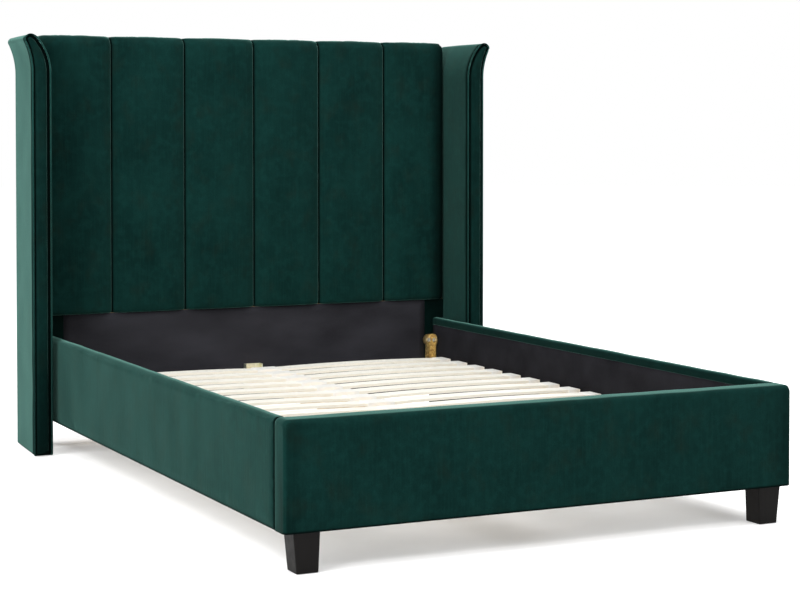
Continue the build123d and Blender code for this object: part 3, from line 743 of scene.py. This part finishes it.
def wing_cover(sizes, side):
    """Padded cover of a wing, rolled into the piping's groove at its front and rounded towards the wall.
    Its outer side has a seam just behind the front edge."""
    front = BAND_HIGH.y
    roll = 5 * MM
    counts = divisions(wing_outline(sizes, front), sizes.cloth_step)
    border, reach = front + sizes.border_seam, sizes.border_width
    places = stations(front, REAR_Y, sizes.cloth_step, (0.5, 1.5, 3, 5))
    places = [y for y in places if abs(y - border) > reach * 1.2]
    places += [border + reach * share for share in (-1, -0.6, -0.3, -0.1, 0.1, 0.3, 0.6, 1)]
    rings = []
    for y in sorted(places):
        to_edge = min(y - front, REAR_Y - y)
        outline = divided(wing_outline(sizes, y), counts)
        crest = highest(outline)
        ring = []
        for i, (x, z) in enumerate(inset_outline(outline, roll * (1 - rolled(to_edge, roll)))):
            outside = eased(i - crest, 6)
            sewn = outside * (1 - eased(abs(y - border), reach))
            free = eased(to_edge, FREE_REACH) * eased(z - WING_FOOT, FREE_REACH) * (1 - sewn)
            x += ruffle((x, y, z), 110 * MM, 1.2 * MM, side) * free - sizes.border_tuck * sewn
            # painted shade along the front edge beside the piping's groove, in the outer seam's groove and
            # along the hem
            edge = 1 - eased(y - front, sizes.wing_edge_shade_reach * (1 - 0.6 * outside))
            pressed = max(edge, min(1, 1.6 * sewn), hem_shade(sizes, z - WING_FOOT))
            ring.append(((side * x, y, z), free, pressed))
        rings.append(ring)
    return closed_shell(f"wing_cover_{SIDES[side]}_velvet", rings)


def crossing(path, z):
    """X at which a path that climbs steadily passes the height z."""
    for (x0, z0), (x1, z1) in zip(path, path[1:]):
        if z0 <= z <= z1 and z1 > z0:
            return x0 + (x1 - x0) * (z - z0) / (z1 - z0)
    return path[-1][0]


def band_levels(sizes, hem, peak):
    """Heights of the front band's rings: close together at its foot, at its hem and under its peak."""
    bend = sizes.wing_inner_top - sizes.flare_height
    shin, brow = WING_FOOT + 40 * MM, peak - 30 * MM
    levels = [z for z in stations(WING_FOOT, shin, 5 * MM, (1, 2.5)) if abs(z - hem) > 4 * MM]
    levels = sorted(levels + [hem + distance * MM for distance in (-3.5, -2, -0.7, 0.7, 2, 3.5)])
    for start, end, step in ((shin, bend, 15), (bend, brow, 6), (brow, peak - 0.4 * MM, 2)):
        levels += stations(start, end, step * MM)[1:]
    return levels


def wing_band(sizes, side):
    """Padded strip on a wing's front edge: crowned, drawn down into the grooves beside the piping,
    and sewn across just above its foot."""
    outline = wing_outline(sizes, WING_FRONT_Y)
    apex = highest(outline)
    rising, falling = outline[:apex + 1], outline[apex:][::-1]
    hem = WING_FOOT + sizes.band_hem
    inner, outer, roll = sizes.band_inner_groove, sizes.band_outer_groove, sizes.band_roll
    deep = (BAND_HIGH.y - 0.4 * MM) - BAND_LOW.y
    rings = []
    for z in band_levels(sizes, hem, outline[apex][1]):
        near = crossing(rising, z)
        width = crossing(falling, z) - near
        close = []
        for groove in (inner, outer):
            steps = [0, groove * 0.6, groove] + [groove + roll * share for share in (0.1, 0.35, 0.7, 1)]
            close.append([min(d, width * (0.3 + 0.02 * i)) for i, d in enumerate(steps)])
        places = close[0] + [width / 2] + [width - d for d in reversed(close[1])]
        seam = rolled(abs(z - hem), 3.5 * MM)
        ring = []
        for place in places:
            groove = inner + (outer - inner) * eased(place / width - 0.35, 0.3)
            to_edge = distance_to(outline, (near + place, z))
            height = rolled(to_edge - groove, roll)
            if z <= hem:
                height = rolled(min(place, width - place) - groove, roll) * rolled(z - WING_FOOT, 4 * MM)
            y = BAND_LOW.y + deep * (1 - height * (0.6 + 0.4 * seam))
            free = eased(to_edge - groove - roll / 2, 12 * MM)
            # painted shade in the grooves beside the piping, along the seam above the foot, and towards the
            # floor
            pressed = max(1 - eased(to_edge - groove + MM, roll * 0.3), 1 - seam, shade_towards_floor(sizes, z))
            ring.append(((side * (near + place), y, z), free, pressed))
        rear = BAND_HIGH.y - 0.2 * MM
        # the hidden rear face is in full painted shade
        ring += [((side * (near + place), rear, z), 0.0, 1.0) for place in reversed(places)]
        rings.append(ring)
    return closed_shell(f"wing_front_band_{SIDES[side]}_velvet", rings)


def wing_piping(sizes, side):
    """Piping cord sewn in round a wing's front band, proud of both faces, its ends tucked under the foot."""
    radius = sizes.piping_radius
    centre_y = WING_FRONT_Y + radius + 1.2 * MM
    outline = inset_outline(wing_outline(sizes, WING_FRONT_Y), radius - sizes.piping_proud)
    path = [point for i, point in enumerate(outline) if i == 0 or point != outline[i - 1]]
    name = f"wing_piping_{SIDES[side]}_velvet"
    curve = bpy.data.curves.new(name, "CURVE")
    curve.dimensions = "3D"
    curve.bevel_depth = radius
    curve.bevel_resolution = 3
    curve.use_fill_caps = True
    spline = curve.splines.new("POLY")
    spline.points.add(len(path) - 1)
    for point, (x, z) in zip(spline.points, path):
        point.co = (side * x, centre_y, max(z, WING_FOOT + radius), 1)
    cord = link_object(name, curve)
    mesh = bpy.data.meshes.new_from_object(cord.evaluated_get(bpy.context.evaluated_depsgraph_get()))
    bpy.data.objects.remove(cord)
    piece = link_object(name, mesh)
    mesh.shade_smooth()
    crest = path[highest(path)]
    # darker near the crest, and painted shade towards the floor
    set_painted_shade(mesh, [
        max(1 - eased(math.dist((side * x, z), crest), sizes.crest_darkening_reach), shade_towards_floor(sizes, z))
        for x, y, z in (vertex.co for vertex in mesh.vertices)
    ])
    return piece


# Rails and footboard


def rail_section(sizes):
    """Closed outline of the right rail's cover in X and Z, clear of the lining on its inner side."""
    inner, outer, foot, top = RAIL_LOW.x, RAIL_HIGH.x, RAIL_LOW.z, RAIL_HIGH.z
    roll, fold = sizes.rail_outer_round, sizes.rail_inner_round
    outline = [(inner + LINING_DEPTH, foot)]
    outline += arc((outer - 3 * MM, foot + 3 * MM), 3 * MM, 270, 360, 3)
    outline.append((outer, foot + sizes.hem_height))
    outline += arc((outer - roll, top - roll), roll, 0, 90, 7)
    outline += arc((inner + fold, top - fold), fold, 90, 180, 5)
    outline += [(inner, LINING_TOP + MM), (inner + MM, LINING_TOP), (inner + LINING_DEPTH, LINING_TOP)]
    return outline


def rail_cover(sizes, side):
    """Padded velvet cover over a side rail's outer face, top and inner return, drawn in at the corner seam.
    The inner return carries half painted shade."""
    section = rail_section(sizes)
    section = divided(section, divisions(section, sizes.cloth_step))
    facing = RAIL_HIGH.x - sizes.rail_outer_round * 0.8
    rings = []
    for y in stations(RAIL_LOW.y, RAIL_HIGH.y, sizes.cloth_step, (0.6, 1.8, 3.5, 6)):
        to_seam = y - RAIL_LOW.y
        draw = sizes.corner_tuck * (1 - rolled(to_seam, 6 * MM))
        loose = eased(min(to_seam, RAIL_HIGH.y - y), 14 * MM)
        seam_shade = 1 - eased(to_seam, sizes.corner_shade_reach)
        ring = []
        for x, z in section:
            out = eased(z - RAIL_LOW.z, FREE_REACH) if x > facing else 0.0
            up = eased(z - LINING_TOP, TOP_REACH)
            gather = 0.8 * MM * math.sin(z / (7 * MM)) * math.exp(-to_seam / (9 * MM))
            gather *= eased(to_seam, 2 * MM)
            shift_x = ruffle((x, y, z), 130 * MM, 1.4 * MM, side) * out * loose - draw * out + gather * out
            shift_z = ruffle((x, y, z), 100 * MM, 1.2 * MM, side + 5) * up * loose - draw * up
            # painted shade: half on the inner return, full in the corner seam and along the hem
            rubbed = 0.5 if x < RAIL_LOW.x + MM else 0.0
            pressed = max(seam_shade, hem_shade(sizes, z - RAIL_LOW.z), rubbed)
            ring.append(((side * (x + shift_x), y, z + shift_z), loose * max(out, up), pressed))
        rings.append(ring)
    return closed_shell(f"side_rail_cover_{SIDES[side]}_velvet", rings)


def footboard_section(sizes, x):
    """Closed outline of the footboard's cover in Y and Z at a place across the bed."""
    roll, fold = sizes.rail_outer_round, sizes.rail_inner_round
    from_end, foot = FOOT_HIGH.x - abs(x), FOOT_LOW.z
    front = FOOT_LOW.y + corner_drop(from_end, sizes.foot_corner_round)
    top = FOOT_HIGH.z - corner_drop(from_end, roll)
    rear = FOOT_HIGH.y - sizes.corner_tuck * (1 - rolled(from_end, sizes.corner_tuck))
    recess = LINING_DEPTH if abs(x) < RAIL_LOW.x else 0
    outline = [(rear - recess, foot)]
    outline += arc((front + 3 * MM, foot + 3 * MM), 3 * MM, 270, 180, 3)
    outline.append((front, foot + sizes.hem_height))
    outline += arc((front + roll, top - roll), roll, 180, 90, 7)
    outline += arc((rear - fold, top - fold), fold, 90, 0, 5)
    outline += [(rear, LINING_TOP + MM), (rear - recess / 3, LINING_TOP), (rear - recess, LINING_TOP - MM)]
    return outline


def footboard_cover(sizes):
    """Padded velvet cover of the footboard, rounded at its front corners."""
    step, corner = sizes.cloth_step, sizes.foot_corner_round
    places = stations(FOOT_LOW.x, FOOT_HIGH.x, step, (0.05, 0.4, 1.5, 3.5, 6.5, 10, 14, 18, 22))
    for side in SIDES:
        places += [side * (RAIL_LOW.x - 0.1 * MM), side * (RAIL_LOW.x + 0.1 * MM)]
    counts = divisions(footboard_section(sizes, 0), step)
    facing = FOOT_LOW.y + sizes.rail_outer_round * 0.8
    rings = []
    for x in sorted(places):
        from_end = FOOT_HIGH.x - abs(x)
        loose = eased(from_end, FREE_REACH)
        ring = []
        for y, z in divided(footboard_section(sizes, x), counts):
            # painted shade in the corner seams and along the hem, and on the front face towards its corners
            seam_shade = 1 - eased(math.hypot(from_end, FOOT_HIGH.y - y), sizes.corner_tuck)
            front_corner_shade = 0.3 * (1 - eased(from_end - corner, 5 * corner)) if y < FOOT_LOW.y + 3 * MM else 0.0
            pressed = max(seam_shade, hem_shade(sizes, z - FOOT_LOW.z), front_corner_shade)
            out = eased(z - FOOT_LOW.z, FREE_REACH) if y < facing else 0.0
            up = eased(z - LINING_TOP, TOP_REACH) if y < FOOT_HIGH.y - 2 * MM else 0.0
            y += ruffle((x, y, z), 140 * MM, 1.6 * MM, 3) * out * loose
            z += ruffle((x, y, z), 110 * MM, 1.2 * MM, 8) * up * loose
            ring.append(((x, y, z), loose * max(out, up), pressed))
        rings.append(ring)
    return closed_shell("footboard_cover_velvet", rings)


# Linings


def lining_sheet(node, across_axis, faces, seed):
    """A stapled lining sheet: thin, pulled nearly flat, with slack waves between its fixings.
    across_axis is the axis through the sheet, and faces is the side that shows, 1 or -1."""
    low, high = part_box(node)
    axes = [axis for axis in range(3) if axis != across_axis]
    counts = [max(2, math.ceil((high[a] - low[a]) / (25 * MM))) for a in axes]
    bpy.ops.object.select_all(action="DESELECT")
    bpy.ops.mesh.primitive_grid_add(x_subdivisions=counts[0], y_subdivisions=counts[1], size=2)
    piece = bpy.context.object
    piece.name = f"{node}_cloth"
    half = (high - low) / 2
    middle = (high + low) / 2
    back = high[across_axis] if faces < 0 else low[across_axis]
    thickness = (high[across_axis] - low[across_axis]) * 0.45
    for vertex in piece.data.vertices:
        u, v = vertex.co.x, vertex.co.y
        point = Vector((0, 0, 0))
        point[axes[0]] = middle[axes[0]] + u * half[axes[0]]
        point[axes[1]] = middle[axes[1]] + v * half[axes[1]]
        loose = (1 - u ** 8) * (1 - v ** 8)
        slack = 0.5 + noise.noise(point / (180 * MM) + Vector((seed, 0, 0)))
        point[across_axis] = back + faces * (thickness + LINING_WAVE * loose * max(0, slack))
        vertex.co = point
    solidify = piece.modifiers.new("cloth", "SOLIDIFY")
    solidify.thickness = thickness * 0.8
    solidify.offset = 0
    bpy.ops.object.modifier_apply(modifier=solidify.name)
    work = bmesh.new()
    work.from_mesh(piece.data)
    bmesh.ops.recalc_face_normals(work, faces=work.faces)
    work.to_mesh(piece.data)
    work.free()
    piece.data.shade_smooth()
    return piece


# Operators


class BED_OT_headboard_channels(bpy.types.Operator):
    """Upholster the headboard's padded channels"""

    bl_idname = "bed.headboard_channels"
    bl_label = "Headboard channels"

    def execute(self, context):
        cloth = velvet_grades(context.scene.bed_colours, "crushed velvet")
        for seed, node in enumerate(CHANNELS):
            piece = channel_pad(context.scene.bed_sizes, node, seed)
            finish_piece(piece, cloth, [node], fill=0.8)
        return {"FINISHED"}


class BED_OT_wings(bpy.types.Operator):
    """Upholster both wings, with their front bands and piping"""

    bl_idname = "bed.wings"
    bl_label = "Wings"

    def execute(self, context):
        sizes, colours = context.scene.bed_sizes, context.scene.bed_colours
        lifted = velvet_grades(colours, "crushed velvet, pile upward", 1.0, 0.36)
        turned = velvet_grades(colours, "crushed velvet, pile downward", 0.75)
        # the cord's velvet is lightened as a painted highlight along the piping
        highlit_cord = velvet_grades(colours, "velvet over cord", 1.8, 0.4)
        for side, name in SIDES.items():
            finish_piece(wing_cover(sizes, side), lifted, [f"wing_cover_{name}"], fill=0.9)
            finish_piece(wing_band(sizes, side), turned, [f"wing_front_band_{name}"], fill=0.9)
            finish_piece(wing_piping(sizes, side), highlit_cord, [f"wing_piping_{name}"])
        return {"FINISHED"}


class BED_OT_rails(bpy.types.Operator):
    """Upholster the side rails and the footboard"""

    bl_idname = "bed.rails"
    bl_label = "Rails and footboard"

    def execute(self, context):
        sizes = context.scene.bed_sizes
        cloth = list(bpy.data.objects[f"{CHANNELS[0]}_velvet"].data.materials)
        for side, name in SIDES.items():
            finish_piece(rail_cover(sizes, side), cloth, [f"side_rail_cover_{name}"], fill=0.9)
        finish_piece(footboard_cover(sizes), cloth, ["footboard_cover"], fill=0.9)
        return {"FINISHED"}


class BED_OT_swell(bpy.types.Operator):
    """Let the padding swell its velvet between the seams"""

    bl_idname = "bed.swell"
    bl_label = "Swell padding"

    def execute(self, context):
        pads = [piece for piece in context.scene.objects if HELD in piece.vertex_groups]
        if not pads:
            raise RuntimeError("No pad is there to swell")
        swell(pads, context.scene.bed_sizes.swell_cap)
        for pad in pads:
            pad.vertex_groups.remove(pad.vertex_groups[HELD])
        return {"FINISHED"}


class BED_OT_linings(bpy.types.Operator):
    """Staple the black linings inside the frame and on its back"""

    bl_idname = "bed.linings"
    bl_label = "Linings"

    def execute(self, context):
        cloth = woven_lining(context.scene.bed_colours, "woven lining")
        # a darker copy of the lining for the side rails, as painted shade
        shaded = woven_lining(context.scene.bed_colours, "woven lining, darker for painted shade", 0.55)
        backing = nonwoven_backing()
        sheets = (
            ("headboard_lower_lining", 1, -1, cloth, ["headboard_lower_board"]),
            ("footboard_lining", 1, 1, cloth, ["footboard_core"]),
            ("side_rail_lining_right", 0, -1, shaded, ["side_rail_board_right"]),
            ("side_rail_lining_left", 0, 1, shaded, ["side_rail_board_left"]),
            ("headboard_rear_lining", 1, 1, backing, ["headboard_stile_left", "headboard_stile_right"]),
        )
        for seed, (node, axis, faces, material, carriers) in enumerate(sheets):
            piece = lining_sheet(node, axis, faces, seed)
            finish_piece(piece, [material], [node])
        return {"FINISHED"}


class BED_OT_finishes(bpy.types.Operator):
    """Finish the carried-over timber, slats, plastic and metal"""

    bl_idname = "bed.finishes"
    bl_label = "Timber and hardware"

    def execute(self, context):
        colours = context.scene.bed_colours
        across = wood("planed pine, grain across", colours.pine, 0)
        along = wood("planed pine, grain along", colours.pine, 1)
        birch = bentwood(colours)
        board = particle_board(colours)
        white = moulded_plastic("white polypropylene", colours.white_plastic, 0.4)
        black = moulded_plastic("black polyamide", linear("#141414"), 0.5)
        lacquer = leg_lacquer(colours)
        yellow = plated_steel("yellow zinc", colours.yellow_zinc, 0.3, linear("#b0906c"))
        zinc = plated_steel("bright zinc", colours.zinc, 0.42)
        clear = plated_steel("clear zinc", colours.clear_zinc, 0.4)
        # a dark velvet with little sheen for the headboard's side strips, as painted shade
        cloth = velvet(colours, "velvet darkened as painted shade", 0.3, 0.1)
        wrap = bpy.data.materials["non-woven backing"]
        finishes = {
            "headboard_stile": wrap, "headboard_board": wrap, "headboard_lower_board": board,
            "headboard_top_rail": across, "headboard_middle_rail": across, "headboard_bottom_rail": across,
            "headboard_side_strips": cloth, "wing_board": board, "side_rail_board": board,
            "footboard_core": across, "slat_ledger": along, "centre_beam": along,
            "slats": birch, "slat_caps": white, "slat_clips": white,
            "front_leg_pads": black, "front_leg": lacquer, "wing_glides": black, "leveller": black,
            "centre_leg": powder_coat(), "beam_hanger": clear,
            "head_bracket": yellow, "foot_bracket": yellow,
            "bracket_bolts": zinc, "leg_bolts": zinc, "wing_bolts": zinc, "wood_screws": zinc,
        }
        for name, node in frame["nodes"].items():
            prefixes = [prefix for prefix in finishes if name.startswith(prefix)]
            if prefixes:
                for slot in node.material_slots:
                    slot.material = finishes[max(prefixes, key=len)]
        return {"FINISHED"}


def add_lamp(name, place, target, size, power):
    """A soft square lamp that points at a place."""
    bpy.ops.object.light_add(type="AREA", location=place)
    lamp = bpy.context.object
    lamp.name = name
    lamp.data.size = size
    lamp.data.energy = power
    lamp.rotation_euler = (Vector(target) - Vector(place)).to_track_quat("-Z", "Y").to_euler()


def plain_world():
    """Pale even surroundings, white where the camera or a gloss looks straight at them."""
    world = bpy.data.worlds.new("studio")
    bpy.context.scene.world = world
    world.use_nodes = True
    tree = world.node_tree
    tree.nodes.clear()
    path = add_node(tree, "ShaderNodeLightPath").outputs
    seen = calculate(tree, "MAXIMUM", path["Is Camera Ray"], path["Is Glossy Ray"])
    seen = calculate(tree, "MAXIMUM", seen, path["Is Transmission Ray"])
    ambient, backdrop = (
        add_node(tree, "ShaderNodeBackground", {"Color": (1, 1, 1, 1), "Strength": strength}).outputs[0]
        for strength in (AMBIENT_LIGHT, 1.0)
    )
    mixed = add_node(tree, "ShaderNodeMixShader", {0: seen, 1: ambient, 2: backdrop}).outputs[0]
    add_node(tree, "ShaderNodeOutputWorld", {"Surface": mixed})


def pale_floor():
    """White studio floor that keeps the bed's shadow and runs out into the backdrop; its glow is left out
    under the bed, a painted shadow there.
    """
    bpy.ops.object.select_all(action="DESELECT")
    bpy.ops.mesh.primitive_circle_add(vertices=64, radius=30, fill_type="NGON")
    floor = bpy.context.object
    floor.name = "floor"
    material, tree, place = start_material("matt studio floor")
    path = add_node(tree, "ShaderNodeLightPath").outputs
    tint = blend(tree, spots(tree, place, 0.4), linear("#e9e9e9"), linear("#f2f2f2"))
    matt = add_node(tree, "ShaderNodeBsdfDiffuse", {"Color": tint}).outputs[0]
    spread = add_node(tree, "ShaderNodeSeparateXYZ", {"Vector": place}).outputs
    # mask of the bed's footprint, where the camera-ray glow is left out as a painted shadow
    clear = []
    for axis, half in (("X", RAIL_HIGH.x), ("Y", REAR_Y)):
        off = calculate(tree, "ABSOLUTE", spread[axis])
        clear.append(add_node(
            tree, "ShaderNodeMapRange", {"Value": off, "From Min": half - 0.12, "From Max": half + 0.03},
            interpolation_type="SMOOTHSTEP",
        ).outputs[0])
    lift = calculate(tree, "MULTIPLY", path["Is Camera Ray"], 0.65)
    lift = calculate(tree, "MULTIPLY", lift, calculate(tree, "MAXIMUM", *clear))
    glow = add_node(tree, "ShaderNodeEmission", {"Color": (1, 1, 1, 1), "Strength": lift}).outputs[0]
    total = add_node(tree, "ShaderNodeAddShader", {0: matt, 1: glow}).outputs[0]
    add_node(tree, "ShaderNodeOutputMaterial", {"Surface": total})
    floor.data.materials.append(material)


def photo_camera():
    """Camera at the photograph's place: nearly level, left of the foot end, with the frame shifted down."""
    bpy.ops.object.camera_add(location=CAMERA_PLACE)
    camera = bpy.context.object
    camera.rotation_euler = (math.radians(90 - CAMERA_PITCH), 0, math.radians(CAMERA_YAW))
    camera.data.sensor_width = CAMERA_SENSOR
    camera.data.lens = CAMERA_LENS
    camera.data.shift_y = CAMERA_SHIFT
    bpy.context.scene.camera = camera


class BED_OT_stage(bpy.types.Operator):
    """Set up the floor, the lamps and the camera"""

    bl_idname = "bed.stage"
    bl_label = "Stage"

    def execute(self, context):
        plain_world()
        pale_floor()
        for lamp in LAMPS:
            add_lamp(*lamp)
        photo_camera()
        context.scene.view_settings.view_transform = "Standard"
        return {"FINISHED"}


class BED_PT_panel(bpy.types.Panel):
    """Steps that dress the bed, in order"""

    bl_label = "Wingback bed"
    bl_space_type = "VIEW_3D"
    bl_region_type = "UI"
    bl_category = "Bed"

    def draw(self, context):
        for step in STEPS:
            self.layout.operator(step.bl_idname)
        for group in (context.scene.bed_sizes, context.scene.bed_colours):
            for name in group.__annotations__:
                self.layout.prop(group, name)


STEPS = (
    BED_OT_headboard_channels, BED_OT_wings, BED_OT_rails, BED_OT_swell,
    BED_OT_linings, BED_OT_finishes, BED_OT_stage,
)
CLASSES = (BedSizes, BedColours, *STEPS, BED_PT_panel)


def register():
    """Add the bed's settings, steps and panel."""
    for item in CLASSES:
        bpy.utils.register_class(item)
    bpy.types.Scene.bed_sizes = PointerProperty(type=BedSizes)
    bpy.types.Scene.bed_colours = PointerProperty(type=BedColours)


def unregister():
    """Remove the bed's settings, steps and panel."""
    del bpy.types.Scene.bed_colours
    del bpy.types.Scene.bed_sizes
    for item in reversed(CLASSES):
        bpy.utils.unregister_class(item)


def main():
    """Dress the bed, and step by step."""
    register()
    bpy.ops.bed.headboard_channels()
    bpy.ops.bed.wings()
    bpy.ops.bed.rails()
    bpy.ops.bed.swell()
    bpy.ops.bed.linings()
    bpy.ops.bed.finishes()
    bpy.ops.bed.stage()


if __name__ == "__main__":
    main()
